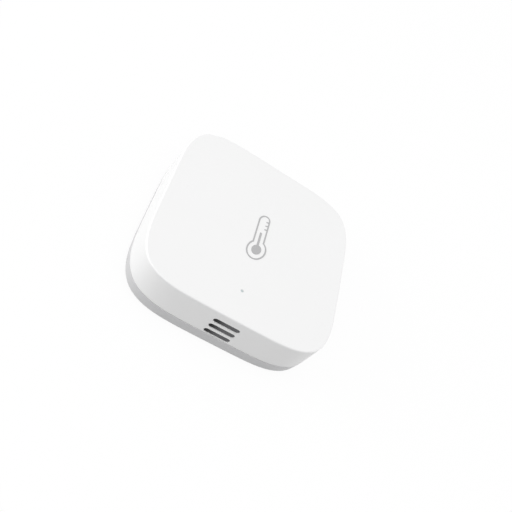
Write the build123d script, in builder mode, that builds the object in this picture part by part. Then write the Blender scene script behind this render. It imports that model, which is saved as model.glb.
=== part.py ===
from build123d import *
import os
from math import cos, log, radians, sin, sqrt

# A battery-powered temperature and humidity sensor for a room: a small white squircle puck
# that sticks to a wall or lies on a shelf. It lies here on its adhesive pad. X runs to the
# right, Y up the printed thermometer, Z out of the front face. The air slots are in the -Y
# side wall and the reset button is in the +Y one. All lengths are in millimetres.

# The coin cell, which the puck is built round
cell_diameter = 20.0
cell_thickness = 3.2
cell_y = 0.8
cell_rim = 0.85
cell_seal_width = 0.35
cell_cap_proud = 0.25
cell_can_wall = 0.3
cell_edge_round = 0.4
cell_cap_round = 0.2
cell_floor_gap = 0.4

# The tact switch beside the cell, under the reset button
switch_length = 4.6
switch_depth = 3.0
switch_height = 1.7
switch_cell_gap = 0.6
plunger_length = 1.4
plunger_height = 0.8
plunger_proud = 0.6
plunger_gap = 0.05
plunger_seat = 0.5
switch_plate = 0.15
switch_plate_lug = 0.5

# The reset button
button_length = 7.2
button_width = 2.4
button_rise = 0.65
button_proud = 0.55
button_gap = 0.12
button_travel = 0.35
button_edge_round = 0.3
flange_margin = 0.7
flange_thickness = 0.6
flange_wall_gap = 0.1
stem_width = 1.8
stem_height = 1.1
stem_length = 0.515
stem_air_gap = 0.05

# The adhesive pad, let into the back
pad_rim = 4.5
pad_thickness = 0.8
pad_proud = 0.45
pad_side_gap = 0.2
pad_edge_round = 0.1

# The outline: straight sides with a slight crown that run into large smooth corners
seam_exponent = 4.45
face_exponent = 5.0
back_exponent = 4.4
outline_points = 32
face_draft = 0.5
back_draft = 0.1

# The front housing
seam_height = 2.8
seam_gap = 0.12
front_wall = 1.4
front_roof = 1.2
face_edge_round = 0.25
seam_edge_round = 0.08

# The rear cover
cover_floor = 0.75
cover_edge_round = 0.25
lip_gap = 0.3
lip_wall = 0.9
lip_rise = 1.1
lip_cut_vent = 8.4
lip_cut_margin = 1.9
hook_width = 3.4
hook_rise = 1.1
hook_bead_height = 0.5
hook_spread = 6.0
ledge_depth = 0.12
ledge_height = 0.4
ledge_margin = 0.3
catch_gap = 0.05
pry_width = 7.0
pry_height = 0.9
pry_depth = 0.8

# The air slots, whose middle is placed as a share of the housing's side height, and the thin
# patch of wall that they pierce
slot_length = 4.75
slot_width = 1.05
slot_pitch = 1.58
slot_height_share = 0.382
slot_count = 3
slot_wall = 0.7
pocket_margin = 0.35

# The dust mesh, a panel behind the slots with a bar that fills each of them
mesh_margin = 0.1
mesh_thickness = 0.2
mesh_wall_gap = 0.02
bar_recess = 0.15
bar_gap = 0.03

# The circuit board
board_side_gap = 1.1
board_exponent = 4.8
board_thickness = 1.0
relief_slot_length = 2.8
relief_slot_width = 0.6
relief_slot_spread = 4.2

# The screws that hold the board, and the housing's bosses
screw_inset = 4.0
screw_shank = 1.4
screw_head = 2.6
screw_head_height = 0.7
screw_grip = 1.1
screw_recess_width = 0.4
screw_recess_length = 1.4
screw_recess_depth = 0.4
boss_diameter = 3.2
boss_bore_gap = 0.05
board_hole_gap = 0.2

# The status light
light_inset = 3.1
led_length = 1.6
led_width = 0.8
led_height = 0.55
pipe_diameter = 0.45
pipe_flange_diameter = 2.0
pipe_flange_thickness = 0.35
pipe_air_gap = 0.1
pipe_side_gap = 0.03

# The printed thermometer, whose bulb and tip are ovals that lean to the right, in degrees
ink_thickness = 0.03
print_x = 0.3
print_lean = 24
bulb_y = -2.88
bulb_length = 4.6
bulb_breadth = 3.44
tip_y = 3.84
tip_length = 2.72
tip_breadth = 2.07
outline_line = 0.27
mercury_length = 2.24
mercury_breadth = 1.68
column_width = 0.4
column_top_y = 0.87
tick_slant = 19
tick_width = 0.24
tick_length = 0.6
tick_pitch = 0.88
tick_top_y = 3.9
tick_count = 3

# The battery contacts
strap_thickness = 0.25
strap_width = 7.0
strap_side_gap = 0.9
strap_foot = 2.0
strap_window_length = 7.0
strap_window_width = 1.6
strap_bend = 0.4
leaf_thickness = 0.15
leaf_width = 2.6
leaf_length = 12.0
leaf_flat = 1.6
leaf_bow = 0.35

# The ring rib that centres the cell in the rear cover
ring_gap = 0.4
ring_wall = 0.7
ring_height = 1.4
ring_cut_gap = 0.7

# The climate sensor and its foam seal
chip_side = 2.5
chip_height = 0.9
chip_inset = 1.8
chip_eye_diameter = 1.0
chip_eye_depth = 0.2
chip_edge_round = 0.08
foam_chip_gap = 0.35
foam_wall = 1.0
foam_cover_gap = 0.3
foam_floor_gap = 0.1

# The parts on the front side of the board, placed as shares of the board's half-width
parts_room = 1.5
radio_side = 7.0
radio_height = 0.85
radio_mark_diameter = 0.7
radio_mark_depth = 0.08
radio_place_shares = (0.1, 0.2)
flash_length = 5.0
flash_width = 4.0
flash_height = 0.9
flash_place_shares = (-0.55, 0.28)
crystal_length = 3.2
crystal_width = 2.5
crystal_height = 0.8
crystal_place_shares = (0.1, -0.28)
clock_length = 3.2
clock_width = 1.5
clock_height = 0.8
clock_place_shares = (0.61, 0.2)
aerial_length = 6.4
aerial_width = 1.8
aerial_height = 0.9
aerial_place_shares = (-0.54, -0.73)
coil_side = 2.5
coil_height = 1.1
coil_place_shares = (0.57, -0.21)
small_length = 1.0
small_width = 0.5
small_height = 0.5
resistor_height = 0.33
terminal_length = 0.22
terminal_lift = 0.02
row_pitch = 1.25
row_count = 5
upper_row_place_shares = (0.1, 0.62)
lower_row_place_shares = (0.1, -0.56)

# The parts on its other side
tank_length = 3.2
tank_width = 1.6
tank_height = 1.4
tank_place_shares = (0.825, -0.47)
test_pad_diameter = 1.2
test_pad_thickness = 0.04
test_pad_count = 4
test_pad_reach_share = 0.93
test_pad_sweep_share = 0.8

# How far a cutting shape runs past what it cuts
overrun = 1.0

# Heights that follow, from the back to the face
back_height = pad_proud
cover_floor_top = back_height + cover_floor
cell_bottom = cover_floor_top + cell_floor_gap
cell_top = cell_bottom + cell_thickness
board_bottom = cell_top + leaf_thickness + leaf_bow
board_top = board_bottom + board_thickness
roof_height = board_top + parts_room
overall_height = roof_height + front_roof
housing_bottom = seam_height + seam_gap
lip_height = seam_height + lip_rise
hook_height = lip_height + hook_rise
plunger_middle = board_bottom - switch_height / 2
button_height = plunger_middle + button_rise

# Distances that follow along Y, from the cell out through the switch and the button to the wall
switch_y = cell_y + cell_diameter / 2 + switch_cell_gap + switch_depth / 2
switch_front = switch_y + switch_depth / 2
plunger_tip = switch_front + plunger_proud
flange_back = plunger_tip + stem_air_gap + stem_length
flange_front = flange_back + flange_thickness
flange_top = button_height + button_width / 2 + flange_margin
draft_share = (overall_height - flange_top) / (overall_height - housing_bottom)
face_half = flange_front + flange_wall_gap + front_wall - face_draft * draft_share
seam_half = face_half + face_draft
back_half = seam_half - back_draft
pad_radius = seam_half - pad_rim
board_half = face_half - front_wall - board_side_gap
screw_reach = board_half - screw_inset
light_y = -(board_half - light_inset)
chip_y = -(board_half - chip_inset)
slot_middle_height = housing_bottom + slot_height_share * (overall_height - housing_bottom)
slot_heights = [slot_middle_height + (row - (slot_count - 1) / 2) * slot_pitch for row in range(slot_count)]
pocket_width = slot_length + 2 * pocket_margin
pocket_top = slot_heights[-1] + slot_width / 2 + pocket_margin


def on_board(shares):
    """A place on the board, from its shares of the board's half-width."""
    return shares[0] * board_half, shares[1] * board_half


def inset(half, exponent, wall):
    """Half-size and exponent of the outline one wall inside, on the sides and on the diagonals alike."""
    diagonal = sqrt(2) * half * 2 ** (-1 / exponent) - wall
    return half - wall, log(2) / log(sqrt(2) * (half - wall) / diagonal)


def wall_half(height, wall):
    """Distance from the Z axis to the middle of a housing side, one wall in, at a height."""
    rise_share = (height - housing_bottom) / (overall_height - housing_bottom)
    return seam_half + (face_half - seam_half) * rise_share - wall


def oval_side(length, breadth):
    """How far right of its middle, and how far above it, the rightmost point of a leaning oval is."""
    lean = radians(print_lean)
    reach = sqrt((length * sin(lean)) ** 2 + (breadth * cos(lean)) ** 2) / 2
    return reach, (length**2 - breadth**2) * sin(lean) * cos(lean) / (4 * reach)


def squircle(half, exponent):
    """The outline |x / half|^exponent + |y / half|^exponent = 1, as one smooth closed curve."""
    points = []
    for step in range(outline_points):
        angle = radians(360 * step / outline_points)
        reach = half / (abs(cos(angle)) ** exponent + abs(sin(angle)) ** exponent) ** (1 / exponent)
        points.append((reach * cos(angle), reach * sin(angle)))
    Spline(*points, periodic=True)


# Front housing: one moulding with the flat face, the drafted side wall, the slots, the button
# window, the light's hole, three screw bosses and the catch ledges.
cavity_bottom_half, cavity_bottom_exponent = inset(seam_half, seam_exponent, front_wall)
cavity_top_half, cavity_top_exponent = inset(face_half, face_exponent, front_wall)
screw_spots = [(screw_reach, screw_reach), (-screw_reach, screw_reach), (screw_reach, -screw_reach)]
ledge_face = wall_half(lip_height, front_wall) - ledge_depth

with BuildPart() as front_housing:
    with BuildSketch(Plane.XY.offset(housing_bottom)):
        with BuildLine():
            squircle(seam_half, seam_exponent)
        make_face()
    with BuildSketch(Plane.XY.offset(overall_height)):
        with BuildLine():
            squircle(face_half, face_exponent)
        make_face()
    loft(ruled=True)
    fillet(front_housing.faces().sort_by(Axis.Z)[-1].edges(), face_edge_round)
    fillet(front_housing.faces().sort_by(Axis.Z)[0].edges(), seam_edge_round)
    with BuildSketch(Plane.XY.offset(housing_bottom)):
        with BuildLine():
            squircle(cavity_bottom_half, cavity_bottom_exponent)
        make_face()
    with BuildSketch(Plane.XY.offset(roof_height)):
        with BuildLine():
            squircle(cavity_top_half, cavity_top_exponent)
        make_face()
    loft(ruled=True, mode=Mode.SUBTRACT)
    # pocket that thins the wall for the air slots, and the slots
    with BuildSketch(Plane.YZ.offset(-pocket_width / 2)):
        with BuildLine():
            Polyline(
                (-wall_half(housing_bottom - overrun, slot_wall), housing_bottom - overrun),
                (-wall_half(pocket_top, slot_wall), pocket_top),
                (-(seam_half - 2 * front_wall), pocket_top),
                (-(seam_half - 2 * front_wall), housing_bottom - overrun),
                close=True,
            )
        make_face()
    extrude(amount=pocket_width, mode=Mode.SUBTRACT)
    with BuildSketch(Plane.XZ.offset(seam_half - 2 * front_wall)):
        with Locations(*[(0, height) for height in slot_heights]):
            SlotOverall(slot_length, slot_width)
    extrude(amount=2 * front_wall + overrun, mode=Mode.SUBTRACT)
    # button window
    with BuildSketch(Plane.XZ.offset(-(seam_half - 2 * front_wall))):
        with Locations((0, button_height)):
            SlotOverall(button_length + 2 * button_gap, button_width + 2 * button_gap)
    extrude(amount=-(2 * front_wall + overrun), mode=Mode.SUBTRACT)
    # screw bosses with blind bores
    with BuildSketch(Plane.XY.offset(board_top)):
        with Locations(*screw_spots):
            Circle(boss_diameter / 2)
            Circle(screw_shank / 2 + boss_bore_gap, mode=Mode.SUBTRACT)
    extrude(amount=roof_height - board_top)
    # status light's hole
    with Locations((0, light_y, overall_height)):
        Hole(pipe_diameter / 2 + pipe_side_gap, depth=front_roof)
    # catch ledges on both side walls, under the hooks' beads
    with BuildSketch(Plane.XY.offset(lip_height - ledge_height)):
        for side in (-1, 1):
            with Locations((side * (ledge_face + front_wall / 2), 0)):
                Rectangle(front_wall, 2 * hook_spread + hook_width + 2 * ledge_margin)
    extrude(amount=ledge_height)
front_housing.part.label = "front_housing"

# Printed thermometer: an outline round a bulb and a tube, the filled bulb with its column, and
# three scale ticks. It is a film of grey ink on the face.
with BuildPart() as thermometer_print:
    with BuildSketch(Plane.XY.offset(overall_height)):
        for shrink, mode in ((0, Mode.ADD), (2 * outline_line, Mode.SUBTRACT)):
            tube_side, side_rise = oval_side(tip_length - shrink, tip_breadth - shrink)
            with Locations((print_x, bulb_y)):
                Ellipse(
                    (bulb_breadth - shrink) / 2,
                    (bulb_length - shrink) / 2,
                    rotation=-print_lean,
                    mode=mode,
                )
            with Locations((print_x, tip_y)):
                Ellipse(
                    (tip_breadth - shrink) / 2,
                    (tip_length - shrink) / 2,
                    rotation=-print_lean,
                    mode=mode,
                )
                Polygon(
                    (tube_side, side_rise),
                    (-tube_side, -side_rise),
                    (-tube_side, bulb_y - tip_y),
                    (tube_side, bulb_y - tip_y),
                    align=None,
                    mode=mode,
                )
        with Locations((print_x, bulb_y)):
            Ellipse(mercury_breadth / 2, mercury_length / 2, rotation=-print_lean)
        with Locations((print_x, (bulb_y + column_top_y) / 2)):
            SlotCenterToCenter(column_top_y - bulb_y, column_width, rotation=90)
        with Locations(*[
            (print_x + tube_side + (outline_line - tick_length) / 2, tick_top_y - row * tick_pitch)
            for row in range(tick_count)
        ]):
            SlotOverall(tick_length, tick_width, rotation=tick_slant)
    extrude(amount=ink_thickness)
thermometer_print.part.label = "thermometer_print"

# Light pipe: a clear pin whose tip shows as a dot in the face, with a flange under the roof.
with BuildPart() as light_pipe:
    with BuildSketch(Plane.XY.offset(roof_height - pipe_flange_thickness)):
        with Locations((0, light_y)):
            Circle(pipe_flange_diameter / 2)
    extrude(amount=pipe_flange_thickness)
    with BuildSketch(Plane.XY.offset(board_top + led_height + pipe_air_gap)):
        with Locations((0, light_y)):
            Circle(pipe_diameter / 2)
    extrude(amount=overall_height - board_top - led_height - pipe_air_gap)
light_pipe.part.label = "light_pipe"

# Dust mesh: a moulded panel glued into the pocket, parallel to its wall, with a bar of mesh
# that fills each slot to just under the wall's outer face.
mesh_front = slot_wall + mesh_wall_gap
mesh_back = mesh_front + mesh_thickness
mesh_bottom = housing_bottom + mesh_margin
mesh_top = pocket_top - mesh_margin

with BuildPart() as dust_mesh:
    with BuildSketch(Plane.YZ.offset(mesh_margin - pocket_width / 2)):
        with BuildLine():
            Polyline(
                (-wall_half(mesh_bottom, bar_recess), mesh_bottom),
                (-wall_half(mesh_top, bar_recess), mesh_top),
                (-wall_half(mesh_top, mesh_back), mesh_top),
                (-wall_half(mesh_bottom, mesh_back), mesh_bottom),
                close=True,
            )
        make_face()
    extrude(amount=pocket_width - 2 * mesh_margin)
    with BuildSketch(Plane.XZ.offset(seam_half - 2 * front_wall)):
        with Locations(*[(0, height) for height in slot_heights]):
            SlotOverall(slot_length - 2 * bar_gap, slot_width - 2 * bar_gap)
    extrude(amount=2 * front_wall + overrun, mode=Mode.INTERSECT)
    with BuildSketch(Plane.YZ.offset(mesh_margin - pocket_width / 2)):
        with BuildLine():
            Polyline(
                (-wall_half(mesh_bottom, mesh_front), mesh_bottom),
                (-wall_half(mesh_top, mesh_front), mesh_top),
                (-wall_half(mesh_top, mesh_back), mesh_top),
                (-wall_half(mesh_bottom, mesh_back), mesh_bottom),
                close=True,
            )
        make_face()
    extrude(amount=pocket_width - 2 * mesh_margin)
dust_mesh.part.label = "dust_mesh"

# Rear cover: the dish that closes the back and shows as the narrow band under the seam. It
# carries the lip and hooks that hold it in the housing, the cell's ring rib and the pad's recess.
lip_outer = inset(seam_half, seam_exponent, front_wall + lip_gap)
lip_inner = inset(seam_half, seam_exponent, front_wall + lip_gap + lip_wall)
lip_side = seam_half - front_wall - lip_gap
bead_face = ledge_face - catch_gap

with BuildPart() as rear_cover:
    with BuildSketch(Plane.XY.offset(back_height)):
        with BuildLine():
            squircle(back_half, back_exponent)
        make_face()
    with BuildSketch(Plane.XY.offset(seam_height)):
        with BuildLine():
            squircle(seam_half, seam_exponent)
        make_face()
    loft(ruled=True)
    fillet(rear_cover.faces().sort_by(Axis.Z)[0].edges(), cover_edge_round)
    fillet(rear_cover.faces().sort_by(Axis.Z)[-1].edges(), seam_edge_round)
    # lip with gaps for the air slots and the button
    with BuildSketch(Plane.XY.offset(cover_floor_top)):
        with BuildLine():
            squircle(*lip_outer)
        make_face()
    extrude(amount=lip_height - cover_floor_top)
    with BuildSketch(Plane.XY.offset(seam_height)):
        with Locations((0, -lip_side)):
            Rectangle(lip_cut_vent, 4 * lip_wall)
        with Locations((0, lip_side)):
            Rectangle(button_length + 2 * lip_cut_margin, 4 * lip_wall)
    extrude(amount=lip_height, mode=Mode.SUBTRACT)
    # inside of the dish
    with BuildSketch(Plane.XY.offset(cover_floor_top)):
        with BuildLine():
            squircle(*lip_inner)
        make_face()
    extrude(amount=overall_height, mode=Mode.SUBTRACT)
    # four hooks on the two sides, each with an outward bead
    for side in (-1, 1):
        for along in (-1, 1):
            with BuildSketch(Plane.XZ.offset(-along * hook_spread - hook_width / 2)):
                with BuildLine():
                    Polyline(
                        (side * (lip_side - lip_wall), lip_height - overrun),
                        (side * (lip_side - lip_wall), hook_height),
                        (side * (lip_side - lip_wall / 4), hook_height),
                        (side * bead_face, lip_height + hook_bead_height),
                        (side * bead_face, lip_height + hook_bead_height / 2),
                        (side * lip_side, lip_height),
                        (side * lip_side, lip_height - overrun),
                        close=True,
                    )
                make_face()
            extrude(amount=hook_width)
    # ring rib round the cell, open where the strap passes
    with BuildSketch(Plane.XY.offset(cover_floor_top)):
        with Locations((0, cell_y)):
            Circle(cell_diameter / 2 + ring_gap + ring_wall)
            Circle(cell_diameter / 2 + ring_gap, mode=Mode.SUBTRACT)
            Rectangle(2 * seam_half, strap_width + 2 * ring_cut_gap, mode=Mode.SUBTRACT)
    extrude(amount=ring_height)
    # recess for the adhesive pad
    with BuildSketch(Plane.XY.offset(back_height)):
        Circle(pad_radius + pad_side_gap)
    extrude(amount=pad_thickness - pad_proud, mode=Mode.SUBTRACT)
    # notch for a coin or a fingernail, at the seam
    with BuildSketch(Plane.YZ.offset(seam_half - pry_depth)):
        with Locations((0, seam_height)):
            SlotOverall(pry_width, 2 * pry_height)
    extrude(amount=pry_depth + overrun, mode=Mode.SUBTRACT)
rear_cover.part.label = "rear_cover"

# Adhesive pad: a disc of double-sided foam tape.
with BuildPart() as adhesive_pad:
    Cylinder(pad_radius, pad_thickness, align=(Align.CENTER, Align.CENTER, Align.MIN))
    fillet(adhesive_pad.edges().sort_by(Axis.Z)[0], pad_edge_round)
adhesive_pad.part.label = "adhesive_pad"

# Circuit board: fills the housing under its bosses, with the screw holes and two slots that
# keep the board's heat away from the climate sensor.
with BuildPart() as circuit_board:
    with BuildSketch(Plane.XY.offset(board_bottom)):
        with BuildLine():
            squircle(board_half, board_exponent)
        make_face()
        with Locations(*screw_spots):
            Circle(screw_shank / 2 + board_hole_gap, mode=Mode.SUBTRACT)
        with Locations((-relief_slot_spread / 2, chip_y), (relief_slot_spread / 2, chip_y)):
            SlotOverall(relief_slot_length, relief_slot_width, rotation=90, mode=Mode.SUBTRACT)
    extrude(amount=board_thickness)
circuit_board.part.label = "circuit_board"

# Board screws: pan heads under the board, shanks up into the bosses.
with BuildPart() as board_screws:
    with BuildSketch(Plane.XY.offset(board_bottom - screw_head_height)):
        with Locations(*screw_spots):
            Circle(screw_head / 2)
    extrude(amount=screw_head_height)
    fillet(board_screws.edges().group_by(Axis.Z)[0], screw_head_height / 2)
    with BuildSketch(Plane.XY.offset(board_bottom)):
        with Locations(*screw_spots):
            Circle(screw_shank / 2)
    extrude(amount=board_thickness + screw_grip)
    with BuildSketch(Plane.XY.offset(board_bottom - screw_head_height)):
        with Locations(*screw_spots):
            Rectangle(screw_recess_length, screw_recess_width)
            Rectangle(screw_recess_width, screw_recess_length)
    extrude(amount=screw_recess_depth, mode=Mode.SUBTRACT)
board_screws.part.label = "board_screws"

# Reset button: an oval cap through the housing wall, a flange that keeps it in, and a stem
# that reaches down to the switch.
button_face = wall_half(button_height, 0) + button_proud

with BuildPart() as reset_button:
    with BuildSketch(Plane.XZ.offset(-flange_back)):
        with Locations((0, button_height)):
            SlotOverall(button_length + 2 * flange_margin, button_width + 2 * flange_margin)
    extrude(amount=-flange_thickness)
    with BuildSketch(Plane.XZ.offset(-flange_front)):
        with Locations((0, button_height)):
            SlotOverall(button_length, button_width)
    extrude(amount=-(button_face - flange_front))
    fillet(reset_button.faces().sort_by(Axis.Y)[-1].edges(), button_edge_round)
    with BuildSketch(Plane.XZ.offset(-(plunger_tip + stem_air_gap))):
        with Locations((0, plunger_middle)):
            Rectangle(stem_width, stem_height)
    extrude(amount=-stem_length)
reset_button.part.label = "reset_button"

# Reset switch: a side-pushed tact switch under the board, as a moulded body with the plunger's
# pocket, a steel plate over it with two lugs, and the plunger.
with BuildPart() as switch_body:
    with Locations((0, switch_y, board_bottom)):
        Box(
            switch_length,
            switch_depth,
            switch_height - switch_plate,
            align=(Align.CENTER, Align.CENTER, Align.MAX),
        )
    with BuildSketch(Plane.XZ.offset(-switch_front)):
        with Locations((0, plunger_middle)):
            Rectangle(plunger_length + 2 * plunger_gap, plunger_height + 2 * plunger_gap)
    extrude(amount=plunger_seat + button_travel + plunger_gap, mode=Mode.SUBTRACT)
switch_body.part.label = "switch_body"

with BuildPart() as switch_plate_cover:
    with BuildSketch(Plane.XY.offset(board_bottom - switch_height)):
        with Locations((0, switch_y)):
            Rectangle(switch_length, switch_depth)
    extrude(amount=switch_plate)
    with BuildSketch(Plane.XY.offset(board_bottom - switch_height)):
        for side in (-1, 1):
            with Locations((side * (switch_length + switch_plate) / 2, switch_y)):
                Rectangle(switch_plate, switch_depth / 2)
    extrude(amount=switch_height)
    with BuildSketch(Plane.XY.offset(board_bottom)):
        for side in (-1, 1):
            with Locations((side * (switch_length + switch_plate_lug) / 2, switch_y)):
                Rectangle(switch_plate_lug, switch_depth / 2)
    extrude(amount=-switch_plate)
switch_plate_cover.part.label = "switch_plate_cover"

with BuildPart() as switch_plunger:
    with BuildSketch(Plane.XZ.offset(-(switch_front - plunger_seat))):
        with Locations((0, plunger_middle)):
            Rectangle(plunger_length, plunger_height)
    extrude(amount=-(plunger_seat + plunger_proud))
switch_plunger.part.label = "switch_plunger"

# Coin cell: the steel can is the positive side and faces the back, the cap is the negative side
# and faces the board, and a nylon seal rings the cap.
cell_can_top = cell_top - cell_cap_proud
cell_cap_radius = cell_diameter / 2 - cell_rim - cell_seal_width
cell_axis = (0, cell_y)

with BuildPart() as cell_can:
    with BuildSketch(Plane.XY.offset(cell_bottom)):
        with Locations(cell_axis):
            Circle(cell_diameter / 2)
    extrude(amount=cell_can_top - cell_bottom)
    fillet(cell_can.edges().group_by(Axis.Z)[0], cell_edge_round)
    fillet(cell_can.edges().group_by(Axis.Z)[-1], cell_edge_round)
    with BuildSketch(Plane.XY.offset(cell_bottom + cell_can_wall)):
        with Locations(cell_axis):
            Circle(cell_cap_radius + cell_seal_width)
    extrude(amount=cell_thickness, mode=Mode.SUBTRACT)
cell_can.part.label = "cell_can"

with BuildPart() as cell_seal:
    with BuildSketch(Plane.XY.offset(cell_bottom + cell_can_wall)):
        with Locations(cell_axis):
            Circle(cell_cap_radius + cell_seal_width)
            Circle(cell_cap_radius, mode=Mode.SUBTRACT)
    extrude(amount=cell_can_top - cell_bottom - cell_can_wall)
cell_seal.part.label = "cell_seal"

with BuildPart() as cell_cap:
    with BuildSketch(Plane.XY.offset(cell_bottom + cell_can_wall)):
        with Locations(cell_axis):
            Circle(cell_cap_radius)
    extrude(amount=cell_top - cell_bottom - cell_can_wall)
    fillet(cell_cap.edges().group_by(Axis.Z)[-1], cell_cap_round)
cell_cap.part.label = "cell_cap"

# Positive strap: spring steel under the can, bent up on both sides to feet on the board.
strap_leg = cell_diameter / 2 + strap_side_gap
strap_bottom = cell_bottom - strap_thickness
strap_top = board_bottom - strap_thickness

with BuildPart() as positive_strap:
    with BuildSketch(Plane.XZ.offset(-cell_y - strap_width / 2)):
        with BuildLine():
            strap_line = FilletPolyline(
                (-strap_leg - strap_foot, strap_top),
                (-strap_leg, strap_top),
                (-strap_leg, strap_bottom),
                (strap_leg, strap_bottom),
                (strap_leg, strap_top),
                (strap_leg + strap_foot, strap_top),
                radius=strap_bend,
            )
            offset(strap_line, amount=strap_thickness, side=Side.LEFT)
        make_face()
    extrude(amount=strap_width)
    with BuildSketch(Plane.XY.offset(strap_bottom)):
        with Locations((0, cell_y)):
            SlotOverall(strap_window_length, strap_window_width)
    extrude(amount=strap_thickness, mode=Mode.SUBTRACT)
positive_strap.part.label = "positive_strap"

# Negative contact: a leaf soldered to the board at both ends and bowed onto the cell's cap.
with BuildPart() as negative_leaf:
    with BuildSketch(Plane.YZ.offset(-leaf_width / 2)):
        with BuildLine():
            Polyline(
                (cell_y - leaf_length / 2, board_bottom),
                (cell_y - leaf_length / 2 + leaf_flat, board_bottom),
                (cell_y - leaf_flat / 2, cell_top + leaf_thickness),
                (cell_y + leaf_flat / 2, cell_top + leaf_thickness),
                (cell_y + leaf_length / 2 - leaf_flat, board_bottom),
                (cell_y + leaf_length / 2, board_bottom),
                (cell_y + leaf_length / 2, board_bottom - leaf_thickness),
                (cell_y + leaf_length / 2 - leaf_flat, board_bottom - leaf_thickness),
                (cell_y + leaf_flat / 2, cell_top),
                (cell_y - leaf_flat / 2, cell_top),
                (cell_y - leaf_length / 2 + leaf_flat, board_bottom - leaf_thickness),
                (cell_y - leaf_length / 2, board_bottom - leaf_thickness),
                close=True,
            )
        make_face()
    extrude(amount=leaf_width)
negative_leaf.part.label = "negative_leaf"

# Climate sensor: a small chip under the board, with the hole that lets air in to its element.
with BuildPart() as climate_chip:
    with BuildSketch(Plane.XY.offset(board_bottom - chip_height)):
        with Locations((0, chip_y)):
            Rectangle(chip_side, chip_side)
    extrude(amount=chip_height)
    fillet(climate_chip.edges().group_by(Axis.Z)[0], chip_edge_round)
    with BuildSketch(Plane.XY.offset(board_bottom - chip_height)):
        with Locations((0, chip_y)):
            Circle(chip_eye_diameter / 2)
    extrude(amount=chip_eye_depth, mode=Mode.SUBTRACT)
climate_chip.part.label = "climate_chip"

# Foam seal: three walls round the climate sensor, open towards the slots, which part its air
# from the warmer air inside.
foam_front_y = -(lip_side - lip_wall - foam_cover_gap)
foam_back_y = chip_y + chip_side / 2 + foam_chip_gap + foam_wall
foam_side = relief_slot_spread / 2 + relief_slot_width + foam_wall

with BuildPart() as foam_seal:
    with BuildSketch(Plane.XY.offset(cover_floor_top + foam_floor_gap)):
        with BuildLine():
            Polyline(
                (-foam_side, foam_front_y),
                (-foam_side, foam_back_y),
                (foam_side, foam_back_y),
                (foam_side, foam_front_y),
                (foam_side - foam_wall, foam_front_y),
                (foam_side - foam_wall, foam_back_y - foam_wall),
                (-foam_side + foam_wall, foam_back_y - foam_wall),
                (-foam_side + foam_wall, foam_front_y),
                close=True,
            )
        make_face()
    extrude(amount=board_bottom - cover_floor_top - foam_floor_gap)
foam_seal.part.label = "foam_seal"


# Chips and small parts on the front side of the board, and two tank capacitors under it
with BuildPart() as status_led:
    with BuildSketch(Plane.XY.offset(board_top)):
        with Locations((0, light_y)):
            Rectangle(led_length, led_width)
    extrude(amount=led_height)
    fillet(status_led.edges().group_by(Axis.Z)[-1], chip_edge_round)
status_led.part.label = "status_led"

with BuildPart() as radio_chip:
    with BuildSketch(Plane.XY.offset(board_top)):
        with Locations(on_board(radio_place_shares)):
            Rectangle(radio_side, radio_side)
    extrude(amount=radio_height)
    fillet(radio_chip.edges().group_by(Axis.Z)[-1], chip_edge_round)
    with BuildSketch(Plane.XY.offset(board_top + radio_height)):
        with Locations(on_board(radio_place_shares)):
            with Locations((radio_mark_diameter - radio_side / 2, radio_side / 2 - radio_mark_diameter)):
                Circle(radio_mark_diameter / 2)
    extrude(amount=-radio_mark_depth, mode=Mode.SUBTRACT)
radio_chip.part.label = "radio_chip"

with BuildPart() as flash_chip:
    with BuildSketch(Plane.XY.offset(board_top)):
        with Locations(on_board(flash_place_shares)):
            Rectangle(flash_width, flash_length)
    extrude(amount=flash_height)
    fillet(flash_chip.edges().group_by(Axis.Z)[-1], chip_edge_round)
flash_chip.part.label = "flash_chip"

with BuildPart() as radio_crystal:
    with BuildSketch(Plane.XY.offset(board_top)):
        with Locations(on_board(crystal_place_shares)):
            Rectangle(crystal_length, crystal_width)
    extrude(amount=crystal_height)
    fillet(radio_crystal.edges().group_by(Axis.Z)[-1], chip_edge_round)
radio_crystal.part.label = "radio_crystal"

with BuildPart() as clock_crystal:
    with BuildSketch(Plane.XY.offset(board_top)):
        with Locations(on_board(clock_place_shares)):
            Rectangle(clock_width, clock_length)
    extrude(amount=clock_height)
    fillet(clock_crystal.edges().group_by(Axis.Z)[-1], chip_edge_round)
clock_crystal.part.label = "clock_crystal"

with BuildPart() as chip_aerial:
    with BuildSketch(Plane.XY.offset(board_top)):
        with Locations(on_board(aerial_place_shares)):
            Rectangle(aerial_length, aerial_width)
    extrude(amount=aerial_height)
    fillet(chip_aerial.edges().group_by(Axis.Z)[-1], chip_edge_round)
chip_aerial.part.label = "chip_aerial"

with BuildPart() as power_coil:
    with BuildSketch(Plane.XY.offset(board_top)):
        with Locations(on_board(coil_place_shares)):
            Rectangle(coil_side, coil_side)
    extrude(amount=coil_height)
    fillet(power_coil.edges().filter_by(Axis.Z), coil_side / 4)
power_coil.part.label = "power_coil"

row_offsets = [(place - (row_count - 1) / 2) * row_pitch for place in range(row_count)]
upper_row = on_board(upper_row_place_shares)
lower_row = on_board(lower_row_place_shares)
capacitor_spots = [(upper_row[0] + offset_x, upper_row[1]) for offset_x in row_offsets]
resistor_spots = [(lower_row[0] + offset_x, lower_row[1]) for offset_x in row_offsets]
terminal_reach = (small_length - terminal_length) / 2

with BuildPart() as ceramic_capacitors:
    with BuildSketch(Plane.XY.offset(board_top)):
        with Locations(*capacitor_spots):
            Rectangle(small_width - 2 * terminal_lift, small_length - 2 * terminal_length)
    extrude(amount=small_height - terminal_lift)
ceramic_capacitors.part.label = "ceramic_capacitors"

with BuildPart() as chip_resistors:
    with BuildSketch(Plane.XY.offset(board_top)):
        with Locations(*resistor_spots):
            Rectangle(small_width - 2 * terminal_lift, small_length - 2 * terminal_length)
    extrude(amount=resistor_height)
chip_resistors.part.label = "chip_resistors"

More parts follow.
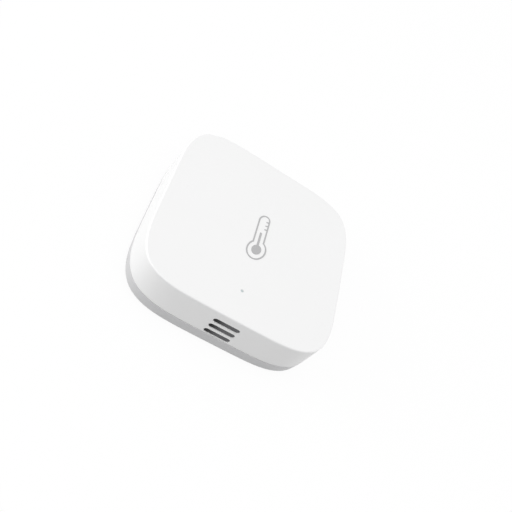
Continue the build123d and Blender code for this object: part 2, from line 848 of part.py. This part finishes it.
with BuildPart() as plated_terminals:
    with BuildSketch(Plane.XY.offset(board_top)):
        for reach in (-terminal_reach, terminal_reach):
            with Locations(*[(x, y + reach) for x, y in capacitor_spots]):
                Rectangle(small_width, terminal_length)
    extrude(amount=small_height)
    with BuildSketch(Plane.XY.offset(board_top)):
        for reach in (-terminal_reach, terminal_reach):
            with Locations(*[(x, y + reach) for x, y in resistor_spots]):
                Rectangle(small_width, terminal_length)
    extrude(amount=resistor_height + terminal_lift)
plated_terminals.part.label = "plated_terminals"

tank_spot = on_board(tank_place_shares)

with BuildPart() as tank_capacitors:
    with BuildSketch(Plane.XY.offset(board_bottom)):
        with Locations(tank_spot, (-tank_spot[0], -tank_spot[1])):
            Rectangle(tank_width, tank_length)
    extrude(amount=-tank_height)
    fillet(tank_capacitors.edges().group_by(Axis.Z)[0], chip_edge_round)
tank_capacitors.part.label = "tank_capacitors"

pad_turns = [
    180 + 90 * test_pad_sweep_share * (place + 1) / (test_pad_count + 1) for place in range(test_pad_count)
]
test_pad_reach = test_pad_reach_share * board_half

with BuildPart() as test_pads:
    with BuildSketch(Plane.XY.offset(board_bottom)):
        with Locations(*[
            (test_pad_reach * cos(radians(turn)), test_pad_reach * sin(radians(turn))) for turn in pad_turns
        ]):
            Circle(test_pad_diameter / 2)
    extrude(amount=-test_pad_thickness)
test_pads.part.label = "test_pads"

finished = [
    front_housing,
    thermometer_print,
    light_pipe,
    dust_mesh,
    rear_cover,
    adhesive_pad,
    circuit_board,
    board_screws,
    reset_button,
    switch_body,
    switch_plate_cover,
    switch_plunger,
    cell_can,
    cell_seal,
    cell_cap,
    positive_strap,
    negative_leaf,
    climate_chip,
    foam_seal,
    status_led,
    radio_chip,
    flash_chip,
    radio_crystal,
    clock_crystal,
    chip_aerial,
    power_coil,
    ceramic_capacitors,
    chip_resistors,
    plated_terminals,
    tank_capacitors,
    test_pads,
]

os.makedirs("parts", exist_ok=True)
for piece in finished:
    export_step(piece.part, f"parts/{piece.part.label}.step")
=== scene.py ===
from math import pi, radians

import bmesh
import bpy
import numpy as np
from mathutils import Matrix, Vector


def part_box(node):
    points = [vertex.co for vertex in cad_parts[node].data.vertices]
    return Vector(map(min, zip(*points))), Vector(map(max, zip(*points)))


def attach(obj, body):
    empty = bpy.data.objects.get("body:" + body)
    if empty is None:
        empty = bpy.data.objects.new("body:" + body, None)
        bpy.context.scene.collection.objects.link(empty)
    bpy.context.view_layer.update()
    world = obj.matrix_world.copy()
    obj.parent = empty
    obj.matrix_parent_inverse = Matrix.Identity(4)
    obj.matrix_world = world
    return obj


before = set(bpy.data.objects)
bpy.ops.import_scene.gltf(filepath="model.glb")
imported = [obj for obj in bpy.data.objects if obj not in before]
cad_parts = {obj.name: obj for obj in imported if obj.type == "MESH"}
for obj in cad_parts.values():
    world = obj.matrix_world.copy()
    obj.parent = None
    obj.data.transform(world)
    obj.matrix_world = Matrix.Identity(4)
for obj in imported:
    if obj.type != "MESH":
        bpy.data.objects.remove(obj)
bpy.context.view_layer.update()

# Front housing and rear cover. Both are injection moulded in the same white ABS, and they close
# on each other with hooks. The front housing shows as the face and the drafted side walls, and
# the cover as the narrow band under the seam.


def linear(hex_colour):
    """An sRGB hex colour as linear red, green and blue, with an alpha of 1."""
    parts = np.array([int(hex_colour[i : i + 2], 16) for i in (1, 3, 5)]) / 255
    return (*np.where(parts <= 0.04045, parts / 12.92, ((parts + 0.055) / 1.055) ** 2.4), 1.0)


def node(tree, kind, inputs=None, **settings):
    """Adds a node. settings are its own properties; inputs gives a socket a value or another's output."""
    made = tree.nodes.new(kind)
    for name, value in settings.items():
        setattr(made, name, value)
    for name, value in (inputs or {}).items():
        if isinstance(value, bpy.types.NodeSocket):
            tree.links.new(value, made.inputs[name])
        else:
            made.inputs[name].default_value = value
    return made


def new_material(name):
    """A new node material with its tree, its surface shader and the piece's own coordinates."""
    material = bpy.data.materials.new(name)
    material.use_nodes = True
    tree = material.node_tree
    tree.nodes.clear()
    shader = node(tree, "ShaderNodeBsdfPrincipled")
    node(tree, "ShaderNodeOutputMaterial", {"Surface": shader.outputs["BSDF"]})
    place = node(tree, "ShaderNodeTexCoord").outputs["Object"]
    return material, tree, shader, place


def finish_node(name, material):
    """Gives a CAD node its material in every slot."""
    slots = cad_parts[name].data.materials
    slots.clear()
    slots.append(material)


mm = 0.001
grains_per_metre, clouds_per_metre, gloss_spread = 8000.0, 90.0, 0.05


def moulded_abs(name, colour, shade, roughness, grain_height):
    """ABS moulded against a spark-eroded tool: matt, with a grain of about 0.12 mm that only softens the
    highlights, and a very faint cloudiness from the pigment."""
    material, tree, shader, place = new_material(name)
    cloud = node(tree, "ShaderNodeTexNoise", {"Vector": place, "Scale": clouds_per_metre, "Detail": 2.0})
    tint = node(tree, "ShaderNodeValToRGB", {"Fac": cloud.outputs["Fac"]})
    tint.color_ramp.elements[0].color = linear(colour)
    tint.color_ramp.elements[1].color = linear(shade)
    grain = node(tree, "ShaderNodeTexNoise", {"Vector": place, "Scale": grains_per_metre, "Detail": 3.0})
    matt = node(
        tree,
        "ShaderNodeMapRange",
        {
            "Value": grain.outputs["Fac"],
            "To Min": roughness - gloss_spread,
            "To Max": roughness + gloss_spread,
        },
    )
    relief = node(
        tree,
        "ShaderNodeBump",
        {"Height": grain.outputs["Fac"], "Strength": 0.25, "Distance": grain_height},
    )
    tree.links.new(tint.outputs["Color"], shader.inputs["Base Color"])
    tree.links.new(matt.outputs["Result"], shader.inputs["Roughness"])
    tree.links.new(relief.outputs["Normal"], shader.inputs["Normal"])
    shader.inputs["IOR"].default_value = 1.53
    return material


housing_abs = moulded_abs("matt_white_abs", "#F3F3F3", "#F1F1F1", 0.5, 0.01 * mm)
cover_abs = moulded_abs("matt_white_abs_cover", "#D3D3D4", "#D0D0D1", 0.5, 0.01 * mm)
finish_node("front_housing", housing_abs)
finish_node("rear_cover", cover_abs)

# Reset button, moulded in the same white ABS from a polished tool, so it is a little glossier
# than the wall that it stands out of.
button_abs = moulded_abs("satin_white_abs", "#EFF0F1", "#EDEEF0", 0.3, 0.004 * mm)
finish_node("reset_button", button_abs)

# Printed thermometer: one pass of grey pad-printing ink on the matt face. The ink is thin, so it
# takes on some of the grain of the plastic, as a faint speckle.
print_ink, tree, shader, place = new_material("grey_printing_ink")
specks_per_metre = 9000.0
speckle = node(tree, "ShaderNodeTexNoise", {"Vector": place, "Scale": specks_per_metre, "Detail": 2.0})
ink_ramp = node(tree, "ShaderNodeValToRGB", {"Fac": speckle.outputs["Fac"]})
ink_ramp.color_ramp.elements[0].position = 0.35
ink_ramp.color_ramp.elements[0].color = linear("#B0B0B1")
ink_ramp.color_ramp.elements[1].position = 0.7
ink_ramp.color_ramp.elements[1].color = linear("#BBBBBC")
tree.links.new(ink_ramp.outputs["Color"], shader.inputs["Base Color"])
relief = node(
    tree,
    "ShaderNodeBump",
    {"Height": speckle.outputs["Fac"], "Strength": 0.15, "Distance": 0.008 * mm},
)
tree.links.new(relief.outputs["Normal"], shader.inputs["Normal"])
shader.inputs["Roughness"].default_value = 0.55
finish_node("thermometer_print", print_ink)

# Light pipe: a moulded polycarbonate pin over the status light. Its tip is faintly frosted, so
# the light shows evenly, and while it is off the dot is a cool grey.
pipe_plastic, tree, shader, place = new_material("frosted_polycarbonate")
frost_per_metre = 14000.0
frost = node(tree, "ShaderNodeTexNoise", {"Vector": place, "Scale": frost_per_metre, "Detail": 2.0})
matt = node(tree, "ShaderNodeMapRange", {"Value": frost.outputs["Fac"], "To Min": 0.18, "To Max": 0.34})
tree.links.new(matt.outputs["Result"], shader.inputs["Roughness"])
shader.inputs["Base Color"].default_value = linear("#D3DEDF")
shader.inputs["Transmission Weight"].default_value = 0.2
shader.inputs["IOR"].default_value = 1.58
finish_node("light_pipe", pipe_plastic)

# Dust mesh: black nylon monofilament cloth on a moulded panel, glued behind the air slots. Its real
# threads are 0.1 mm apart and wouldn't show, so they are drawn 0.3 mm apart. The slots look black at
# their left end and grey further on: this is painted shade and painted light in the cloth's colour,
# black in the shade of each slot's left end and lit grey further on, fading between two shares of its
# length.
mesh_cloth, tree, shader, place = new_material("black_nylon_mesh")
thread_pitch = 0.3 * mm
# Shares of the cloth's length between which the painted shade at the slots' left end fades to painted light.
shade_fade_start_share, shade_fade_end_share = 0.1, 0.55


def wave_scale(pitch):
    """The Scale that puts a Wave texture's bands a pitch apart: its phase is 20 times Scale times place."""
    return 2 * pi / (20 * pitch)


threads = {"Vector": place, "Scale": wave_scale(thread_pitch)}
weft = node(tree, "ShaderNodeTexWave", threads, bands_direction="X")
warp = node(tree, "ShaderNodeTexWave", threads, bands_direction="Z")
thread = node(tree, "ShaderNodeMath", {0: weft.outputs["Fac"], 1: warp.outputs["Fac"]}, operation="MAXIMUM")
mesh_low, mesh_high = (np.array(corner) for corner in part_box("dust_mesh"))
mesh_length = mesh_high[0] - mesh_low[0]
along_slot = node(tree, "ShaderNodeSeparateXYZ", {"Vector": place})
# Painted shade: the cloth's colour goes from black at the slots' left end to a painted lit grey further
# along X.
painted_shade_fade = node(
    tree,
    "ShaderNodeMapRange",
    {
        "Value": along_slot.outputs["X"],
        "From Min": mesh_low[0] + shade_fade_start_share * mesh_length,
        "From Max": mesh_low[0] + shade_fade_end_share * mesh_length,
    },
    interpolation_type="SMOOTHSTEP",
)
shaded_cloth_ramp = node(tree, "ShaderNodeValToRGB", {"Fac": thread.outputs[0]})
shaded_cloth_ramp.color_ramp.elements[0].color = linear("#060606")
shaded_cloth_ramp.color_ramp.elements[1].color = linear("#101011")
# The grey of the cloth where it is painted as lit, against the black of its painted shade.
lit_cloth_ramp = node(tree, "ShaderNodeValToRGB", {"Fac": thread.outputs[0]})
lit_cloth_ramp.color_ramp.elements[0].color = linear("#555557")
lit_cloth_ramp.color_ramp.elements[1].color = linear("#6A6A6C")
cloth = node(
    tree,
    "ShaderNodeMixRGB",
    {
        "Fac": painted_shade_fade.outputs["Result"],
        "Color1": shaded_cloth_ramp.outputs["Color"],
        "Color2": lit_cloth_ramp.outputs["Color"],
    },
)
tree.links.new(cloth.outputs["Color"], shader.inputs["Base Color"])
relief = node(tree, "ShaderNodeBump", {"Height": thread.outputs[0], "Strength": 0.6, "Distance": 0.06 * mm})
tree.links.new(relief.outputs["Normal"], shader.inputs["Normal"])
shader.inputs["Roughness"].default_value = 0.8
finish_node("dust_mesh", mesh_cloth)


# Adhesive pad and foam seal. The pad is white closed-cell tape, cut by a round die; the seal is
# black open-cell foam, cut as a strip and folded round the climate sensor.
def cut_foam(name, wall_colour, pore_shade_colour, pore_size, depth):
    """Cut foam: a dull face with open pores of a size, whose insides carry painted shade that makes them
    darker than the walls between them.
    """
    material, tree, shader, place = new_material(name)
    pores = node(tree, "ShaderNodeTexVoronoi", {"Vector": place, "Scale": 1 / pore_size, "Randomness": 1.0})
    # Painted shade: each pore is coloured darker towards its middle than the foam walls around it.
    open_ramp = node(tree, "ShaderNodeValToRGB", {"Fac": pores.outputs["Distance"]})
    open_ramp.color_ramp.elements[0].position = 0.1
    open_ramp.color_ramp.elements[0].color = linear(pore_shade_colour)
    open_ramp.color_ramp.elements[1].position = 0.45
    open_ramp.color_ramp.elements[1].color = linear(wall_colour)
    relief = node(
        tree,
        "ShaderNodeBump",
        {"Height": pores.outputs["Distance"], "Strength": 0.5, "Distance": depth},
    )
    tree.links.new(open_ramp.outputs["Color"], shader.inputs["Base Color"])
    tree.links.new(relief.outputs["Normal"], shader.inputs["Normal"])
    shader.inputs["Roughness"].default_value = 0.85
    return material


finish_node("adhesive_pad", cut_foam("white_tape_foam", "#E4E4E2", "#CFCFCC", 0.25 * mm, 0.03 * mm))
finish_node("foam_seal", cut_foam("black_polyurethane_foam", "#232324", "#070707", 0.5 * mm, 0.1 * mm))


# Circuit board: glass-epoxy laminate under green solder mask, which is glossy and lets the glass
# weave show as a faint square pattern 0.5 mm apart.
board_mask, tree, shader, place = new_material("green_solder_mask")
weave_pitch = 0.5 * mm
yarns = {"Vector": place, "Scale": wave_scale(weave_pitch)}
weft = node(tree, "ShaderNodeTexWave", yarns, bands_direction="X")
warp = node(tree, "ShaderNodeTexWave", yarns, bands_direction="Y")
weave = node(tree, "ShaderNodeMath", {0: weft.outputs["Fac"], 1: warp.outputs["Fac"]}, operation="MULTIPLY")
mask_ramp = node(tree, "ShaderNodeValToRGB", {"Fac": weave.outputs[0]})
mask_ramp.color_ramp.elements[0].color = linear("#0B4A2E")
mask_ramp.color_ramp.elements[1].color = linear("#0F5838")
tree.links.new(mask_ramp.outputs["Color"], shader.inputs["Base Color"])
relief = node(tree, "ShaderNodeBump", {"Height": weave.outputs[0], "Strength": 0.1, "Distance": 0.02 * mm})
tree.links.new(relief.outputs["Normal"], shader.inputs["Normal"])
shader.inputs["Roughness"].default_value = 0.28
shader.inputs["Coat Weight"].default_value = 0.3
finish_node("circuit_board", board_mask)

# Copper tracks on the board's underside: bundles of parallel lines, raised a little under the
# mask, that run round the cell from the climate sensor to the switch. Etched, then coated.
board_low, board_high = (np.array(corner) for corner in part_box("circuit_board"))


def add_piece(name, points, faces, material, finish_slot, body="housing"):
    """A piece from its points in metres and its faces, with every face turned outwards."""
    mesh = bpy.data.meshes.new(name)
    mesh.from_pydata(points.reshape(-1, 3).tolist(), [], [tuple(int(i) for i in face) for face in faces])
    shell = bmesh.new()
    shell.from_mesh(mesh)
    bmesh.ops.recalc_face_normals(shell, faces=shell.faces)
    shell.to_mesh(mesh)
    shell.free()
    mesh.materials.append(material)
    piece = bpy.data.objects.new(name, mesh)
    bpy.context.scene.collection.objects.link(piece)
    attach(piece, body)
    return piece


def ribbon(route, aside, width, low, high):
    """A flat bar along a route in X and Y, its middle shifted aside by a distance: at each corner the shift
    goes along the mean of the two runs' normals, longer by one over the cosine of half the turn."""
    runs = np.diff(route, axis=0)
    runs /= np.linalg.norm(runs, axis=1)[:, None]
    normals = np.c_[-runs[:, 1], runs[:, 0]]
    mean = np.vstack([normals[:1], normals[:-1] + normals[1:], normals[-1:]])
    mean /= np.linalg.norm(mean, axis=1)[:, None]
    stretch = np.r_[1, 1 / np.einsum("ij,ij->i", mean[1:-1], normals[:-1]), 1][:, None]
    edges = [route + mean * stretch * (aside + side * width / 2) for side in (-1, 1, 1, -1)]
    levels = [np.full(len(route), height) for height in (low, low, high, high)]
    points = np.stack([np.c_[edge, level] for edge, level in zip(edges, levels)], axis=1)
    start = 4 * np.arange(len(route) - 1)[:, None]
    corner = np.arange(4)[None, :]
    turn = (corner + 1) % 4
    faces = np.stack([start + corner, start + turn, start + 4 + turn, start + 4 + corner], axis=2)
    last = 4 * (len(route) - 1)
    ends = [[0, 1, 2, 3], [last + 3, last + 2, last + 1, last]]
    return points.reshape(-1, 3), np.vstack([faces.reshape(-1, 4), ends])


def joined(parts):
    """Several (points, faces) as one."""
    starts = np.cumsum([0] + [len(points) for points, _ in parts[:-1]])
    faces = np.vstack([faces + start for (_, faces), start in zip(parts, starts)])
    return np.vstack([points for points, _ in parts]), faces


track_width, track_pitch, track_rise = 0.22 * mm, 0.45 * mm, 0.025 * mm
routes = {
    "left": [(-13.8, -8.6), (-13.8, 8.4), (-9.6, 12.6), (-9.6, 13.4), (-3.0, 13.4)],
    "right": [(13.8, -8.9), (13.8, 8.2), (12.6, 9.4)],
    "upper": [(3.2, 13.2), (7.4, 13.2), (8.8, 11.8)],
    "lower": [(4.4, -13.7), (7.6, -13.7), (9.4, -11.9), (9.4, -9.2)],
}
track_count = 3
track_shifts = [(line - (track_count - 1) / 2) * track_pitch for line in range(track_count)]
tracks = [
    ribbon(np.array(route) * mm, shift, track_width, board_low[2] - track_rise, board_low[2])
    for route in routes.values()
    for shift in track_shifts
]
track_mask, tree, shader, place = new_material("masked_copper")
mottles_per_metre = 2500.0
thin = node(tree, "ShaderNodeTexNoise", {"Vector": place, "Scale": mottles_per_metre, "Detail": 2.0})
track_ramp = node(tree, "ShaderNodeValToRGB", {"Fac": thin.outputs["Fac"]})
track_ramp.color_ramp.elements[0].color = linear("#1B7A45")
track_ramp.color_ramp.elements[1].color = linear("#218A50")
tree.links.new(track_ramp.outputs["Color"], shader.inputs["Base Color"])
shader.inputs["Roughness"].default_value = 0.3
add_piece("board_tracks", *joined(tracks), track_mask, "board_laminate")


# Solder: a shiny concave fillet of lead-free tin round each soldered foot, drawn by the melt.
def metal(name, light, dark, roughness, stretch, scale):
    """A metal with streaks from how it was worked: noise whose axes are scaled by stretch, and then all by
    scale, per metre."""
    material, tree, shader, place = new_material(name)
    drawn = node(tree, "ShaderNodeMapping", {"Vector": place, "Scale": stretch})
    streak = node(
        tree,
        "ShaderNodeTexNoise",
        {"Vector": drawn.outputs["Vector"], "Scale": scale, "Detail": 3.0},
    )
    tone = node(tree, "ShaderNodeValToRGB", {"Fac": streak.outputs["Fac"]})
    tone.color_ramp.elements[0].position = 0.3
    tone.color_ramp.elements[0].color = linear(dark)
    tone.color_ramp.elements[1].position = 0.7
    tone.color_ramp.elements[1].color = linear(light)
    matt = node(
        tree,
        "ShaderNodeMapRange",
        {"Value": streak.outputs["Fac"], "To Min": roughness * 0.8, "To Max": roughness * 1.25},
    )
    relief = node(
        tree,
        "ShaderNodeBump",
        {"Height": streak.outputs["Fac"], "Strength": 0.1, "Distance": 0.01 * mm},
    )
    tree.links.new(tone.outputs["Color"], shader.inputs["Base Color"])
    tree.links.new(matt.outputs["Result"], shader.inputs["Roughness"])
    tree.links.new(relief.outputs["Normal"], shader.inputs["Normal"])
    shader.inputs["Metallic"].default_value = 1.0
    return material


tin = metal("lead_free_solder", "#D2D2D0", "#B9B9B7", 0.22, (1.0, 1.0, 1.0), 1500.0)


steps_round, steps_out = 40, 6


def fillet_ring(low, high, reach, rise):
    """A concave skirt round the box from low to high: at a share s of its reach outwards it has sunk to
    rise times (1 - s) squared, and the corners are quarter turns."""
    turn = np.linspace(0, 2 * pi, steps_round, endpoint=False) + pi / 4
    share = np.linspace(0, 1, steps_out)
    out = np.stack([np.cos(turn), np.sin(turn)], axis=1)
    corner = np.where(out[:, None, :] > 0, high[:2], low[:2])[:, 0, :]
    rings = corner[:, None, :] + out[:, None, :] * (share * reach)[None, :, None]
    height = np.broadcast_to(board_low[2] - rise * (1 - share) ** 2, rings.shape[:2])
    upper = np.dstack([rings, height])
    inner = np.c_[corner, np.full(len(turn), board_low[2])][:, None, :]
    points = np.concatenate([upper, inner], axis=1)
    count, across = points.shape[:2]
    i, j = np.meshgrid(np.arange(count), np.arange(across), indexing="ij")
    index = i * across + j
    step, turned = np.roll(index, -1, axis=0), np.roll(index, -1, axis=1)
    faces = np.stack([index, step, np.roll(step, -1, axis=1), turned], axis=2).reshape(-1, 4)
    return points.reshape(-1, 3), faces


strap_low, strap_high = (np.array(corner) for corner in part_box("positive_strap"))
leaf_low, leaf_high = (np.array(corner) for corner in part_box("negative_leaf"))
lug_low, lug_high = (np.array(corner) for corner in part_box("switch_plate_cover"))
foot, foot_reach, foot_rise = 1.7 * mm, 0.35 * mm, 0.2 * mm
leaf_end, leaf_reach, leaf_rise = 1.2 * mm, 0.25 * mm, 0.12 * mm
lug, lug_inset, lug_reach, lug_rise = 0.4 * mm, 0.75 * mm, 0.25 * mm, 0.15 * mm
lug_low[1] += lug_inset
lug_high[1] -= lug_inset
fillets = [
    fillet_ring(strap_low, np.array([strap_low[0] + foot, strap_high[1]]), foot_reach, foot_rise),
    fillet_ring(np.array([strap_high[0] - foot, strap_low[1]]), strap_high, foot_reach, foot_rise),
    fillet_ring(leaf_low, np.array([leaf_high[0], leaf_low[1] + leaf_end]), leaf_reach, leaf_rise),
    fillet_ring(np.array([leaf_low[0], leaf_high[1] - leaf_end]), leaf_high, leaf_reach, leaf_rise),
    fillet_ring(lug_low, np.array([lug_low[0] + lug, lug_high[1]]), lug_reach, lug_rise),
    fillet_ring(np.array([lug_high[0] - lug, lug_low[1]]), lug_high, lug_reach, lug_rise),
]
add_piece("solder_fillets", *joined(fillets), tin, "terminal_tin")

# Board screws: zinc-plated steel, cold headed and thread rolled, with a bluish sheen.
finish_node("board_screws", metal("zinc_plated_steel", "#B9BCC2", "#9DA0A7", 0.32, (1.0, 1.0, 1.0), 900.0))

# Battery contacts. The positive strap is nickel-plated spring steel stamped from a coil, so its
# grain runs along its length; the negative leaf is tin-bronze strip.
along_x, along_y = (40.0, 900.0, 900.0), (900.0, 40.0, 900.0)
strap_steel = metal("nickel_plated_spring_steel", "#C6C4BD", "#ABA9A3", 0.28, along_x, 4.0)
finish_node("positive_strap", strap_steel)
finish_node("negative_leaf", metal("spring_bronze", "#D5A56A", "#BE8C50", 0.3, along_y, 4.0))

# Coin cell: a deep-drawn can and cap of nickel-plated stainless steel, both with fine turning
# rings 0.25 mm apart about the cell's axis, and a grey nylon seal crimped between them.
cell_low, cell_high = (np.array(corner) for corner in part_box("cell_can"))
cell_centre = (cell_low + cell_high) / 2
cell_steel, tree, shader, place = new_material("turned_nickel_plate")
ring_pitch, scuffs_per_metre = 0.25 * mm, 350.0
to_axis = (-cell_centre[0], -cell_centre[1], 0.0)
centred = node(tree, "ShaderNodeMapping", {"Vector": place, "Location": to_axis})
rings = node(
    tree,
    "ShaderNodeTexWave",
    {
        "Vector": centred.outputs["Vector"],
        "Scale": wave_scale(ring_pitch),
        "Distortion": 0.6,
        "Detail": 2.0,
    },
    wave_type="RINGS",
    rings_direction="Z",
)
scuff = node(tree, "ShaderNodeTexNoise", {"Vector": place, "Scale": scuffs_per_metre, "Detail": 4.0})
tone = node(tree, "ShaderNodeValToRGB", {"Fac": scuff.outputs["Fac"]})
tone.color_ramp.elements[0].position = 0.3
tone.color_ramp.elements[0].color = linear("#B7B6B2")
tone.color_ramp.elements[1].position = 0.7
tone.color_ramp.elements[1].color = linear("#CBCAC7")
matt = node(tree, "ShaderNodeMapRange", {"Value": rings.outputs["Fac"], "To Min": 0.2, "To Max": 0.34})
turned = {"Height": rings.outputs["Fac"], "Strength": 0.12, "Distance": 0.02 * mm}
relief = node(tree, "ShaderNodeBump", turned)
tree.links.new(tone.outputs["Color"], shader.inputs["Base Color"])
tree.links.new(matt.outputs["Result"], shader.inputs["Roughness"])
tree.links.new(relief.outputs["Normal"], shader.inputs["Normal"])
shader.inputs["Metallic"].default_value = 1.0
finish_node("cell_can", cell_steel)
finish_node("cell_cap", cell_steel)

# The plus sign pressed up out of the can, which marks its positive side: one cross, 3 mm long,
# whose sides slope in from its foot, a little under the surface, to its flat top.
arm_reach, arm_half, mark_rise, mark_slope = 1.5 * mm, 0.27 * mm, 0.09 * mm, 0.09 * mm
mark_root, mark_off_centre = 0.02 * mm, 6.5 * mm
mark_centre = cell_centre[:2] - [0.0, mark_off_centre]


def cross(inset, height):
    """The twelve corners of a cross, which are three corners of one arm in four quarter turns."""
    reach, half = arm_reach - inset, arm_half - inset
    arm = np.array([[reach, -half], [reach, half], [half, half]])
    turn = np.arange(4) * pi / 2
    quarter_turns = np.array([[np.cos(turn), -np.sin(turn)], [np.sin(turn), np.cos(turn)]])
    corners = np.einsum("ijk,nj->kni", quarter_turns, arm).reshape(-1, 2)
    return np.c_[corners + mark_centre, np.full(len(corners), height)]


corner = np.arange(12)
onward = (corner + 1) % 12
sides = np.stack([corner, onward, onward + 12, corner + 12], axis=1)
mark_points = np.vstack([cross(0.0, cell_low[2] + mark_root), cross(mark_slope, cell_low[2] - mark_rise)])
mark_faces = [*sides, corner, corner + 12]
add_piece("cell_plus_mark", mark_points, mark_faces, cell_steel, "cell_steel")


# Moulded and fired small parts: each a dull body whose grain is what its powder or filler leaves.
def grained(name, colour, shade, roughness, grain_size):
    """A dull body mottled between two colours at the size of its grains."""
    material, tree, shader, place = new_material(name)
    grain = node(tree, "ShaderNodeTexNoise", {"Vector": place, "Scale": 1 / grain_size, "Detail": 3.0})
    tone = node(tree, "ShaderNodeValToRGB", {"Fac": grain.outputs["Fac"]})
    tone.color_ramp.elements[0].position = 0.3
    tone.color_ramp.elements[0].color = linear(shade)
    tone.color_ramp.elements[1].position = 0.7
    tone.color_ramp.elements[1].color = linear(colour)
    relief = node(
        tree,
        "ShaderNodeBump",
        {"Height": grain.outputs["Fac"], "Strength": 0.2, "Distance": 0.01 * mm},
    )
    tree.links.new(tone.outputs["Color"], shader.inputs["Base Color"])
    tree.links.new(relief.outputs["Normal"], shader.inputs["Normal"])
    shader.inputs["Roughness"].default_value = roughness
    return material


finish_node("cell_seal", grained("grey_nylon", "#3C3D40", "#333437", 0.5, 0.3 * mm))
chip_epoxy = grained("black_moulded_epoxy", "#1D1D1F", "#141415", 0.6, 0.12 * mm)
for chip in ("radio_chip", "flash_chip", "climate_chip"):
    finish_node(chip, chip_epoxy)
finish_node("chip_aerial", grained("fired_white_ceramic", "#DADEE0", "#CDD2D5", 0.45, 0.2 * mm))
finish_node("ceramic_capacitors", grained("fired_tan_ceramic", "#9C7B57", "#8A6B49", 0.55, 0.12 * mm))
finish_node("chip_resistors", grained("black_glass_glaze", "#18181B", "#0F0F12", 0.3, 0.2 * mm))
finish_node("power_coil", grained("pressed_ferrite", "#3A3A3C", "#2A2A2C", 0.7, 0.15 * mm))
finish_node("tank_capacitors", grained("amber_moulded_epoxy", "#C9871F", "#B97917", 0.45, 0.3 * mm))
finish_node("switch_body", grained("black_switch_nylon", "#1C1C1E", "#151517", 0.5, 0.2 * mm))
finish_node("switch_plunger", grained("ivory_switch_nylon", "#D8D5C8", "#CBC8BB", 0.45, 0.2 * mm))
finish_node("status_led", grained("phosphor_resin", "#EDE3AC", "#E4D797", 0.35, 0.2 * mm))

# Plated and stamped small parts: crystal cans and switch plate in bright nickel, terminals in
# tin, and test pads in gold.
finish_node("radio_crystal", metal("bright_nickel_can", "#CFCEC8", "#BDBCB6", 0.2, along_x, 5.0))
finish_node("clock_crystal", metal("satin_nickel_can", "#C9C8C3", "#B5B4AF", 0.26, along_y, 5.0))
finish_node("switch_plate_cover", metal("stamped_steel", "#C8C8C6", "#B3B3B1", 0.22, along_x, 5.0))
finish_node("plated_terminals", tin)
finish_node("test_pads", metal("immersion_gold", "#E3BC6A", "#D3A850", 0.28, (1.0, 1.0, 1.0), 1200.0))


# Studio: a plain pale floor, one large soft light low on the puck's left, a weak one on its right,
# and an even white surround. Where the camera, a reflection or clear plastic shows the floor, it is
# white paper that keeps a faint shadow; what it throws back onto the puck is what grey paper would.
def seen_directly(tree):
    """1 for what the camera, a reflection or a clear piece shows, and 0 for light on the puck."""
    ray = node(tree, "ShaderNodeLightPath")
    camera_or_gloss = node(
        tree,
        "ShaderNodeMath",
        {0: ray.outputs["Is Camera Ray"], 1: ray.outputs["Is Glossy Ray"]},
        operation="MAXIMUM",
    )
    either = node(
        tree,
        "ShaderNodeMath",
        {0: camera_or_gloss.outputs[0], 1: ray.outputs["Is Transmission Ray"]},
        operation="MAXIMUM",
    )
    return either.outputs[0]


floor_paper = bpy.data.materials.new("white_paper")
floor_paper.use_nodes = True
tree = floor_paper.node_tree
tree.nodes.clear()
grey = node(tree, "ShaderNodeBsdfDiffuse", {"Color": linear("#9A9A9A")})
white = node(tree, "ShaderNodeBsdfDiffuse", {"Color": linear("#FAFAFA")})
glow = node(tree, "ShaderNodeEmission", {"Color": (1.0, 1.0, 1.0, 1.0), "Strength": 1.0})
glow_share = 0.93
shown = node(tree, "ShaderNodeMixShader", {0: glow_share, 1: white.outputs[0], 2: glow.outputs[0]})
paper = node(tree, "ShaderNodeMixShader", {0: seen_directly(tree), 1: grey.outputs[0], 2: shown.outputs[0]})
node(tree, "ShaderNodeOutputMaterial", {"Surface": paper.outputs[0]})

floor_half = 3.0
floor_mesh = bpy.data.meshes.new("floor")
corners = [(x * floor_half, y * floor_half, 0.0) for x, y in ((-1, -1), (1, -1), (1, 1), (-1, 1))]
floor_mesh.from_pydata(corners, [], [(0, 1, 2, 3)])
floor = bpy.data.objects.new("floor", floor_mesh)
floor_mesh.materials.append(floor_paper)
bpy.context.scene.collection.objects.link(floor)

world = bpy.data.worlds.new("surround")
bpy.context.scene.world = world
world.use_nodes = True
tree = world.node_tree
tree.nodes.clear()
light_level, seen_level = 0.905, 1.0
levels = {"Value": seen_directly(tree), "To Min": light_level, "To Max": seen_level}
strength = node(tree, "ShaderNodeMapRange", levels)
sky = node(
    tree,
    "ShaderNodeBackground",
    {"Color": (1.0, 1.0, 1.0, 1.0), "Strength": strength.outputs[0]},
)
node(tree, "ShaderNodeOutputWorld", {"Surface": sky.outputs[0]})


def soft_light(name, place, aim, size, watts):
    """A square area light at place, turned to face aim."""
    lamp = bpy.data.lights.new(name, "AREA")
    lamp.size = size
    lamp.energy = watts
    holder = bpy.data.objects.new(name, lamp)
    bpy.context.scene.collection.objects.link(holder)
    holder.location = place
    towards = np.array(aim) - np.array(place)
    flat = np.hypot(towards[0], towards[1])
    holder.rotation_euler = (np.arctan2(flat, -towards[2]), 0.0, np.arctan2(towards[1], towards[0]) - pi / 2)


soft_light("left_softbox", (-0.48, -0.035, 0.1), (0.0, 0.0, 0.0), 0.3, 1.35)
soft_light("right_softbox", (0.47, 0.03, 0.06), (0.0, 0.0, 0.0), 0.2, 0.45)

# Camera: near the puck, above its lower left corner, and rolled as in the photograph.
lens = bpy.data.cameras.new("camera")
lens.lens = 42.19
lens.sensor_width = 36.0
lens.clip_start = 0.005
camera = bpy.data.objects.new("camera", lens)
camera.location = (-0.026399, -0.067305, 0.080713)
camera.rotation_euler = (radians(33.19), radians(-30.361), radians(14.568))
bpy.context.scene.collection.objects.link(camera)
bpy.context.scene.camera = camera
bpy.context.scene.view_settings.view_transform = "Standard"
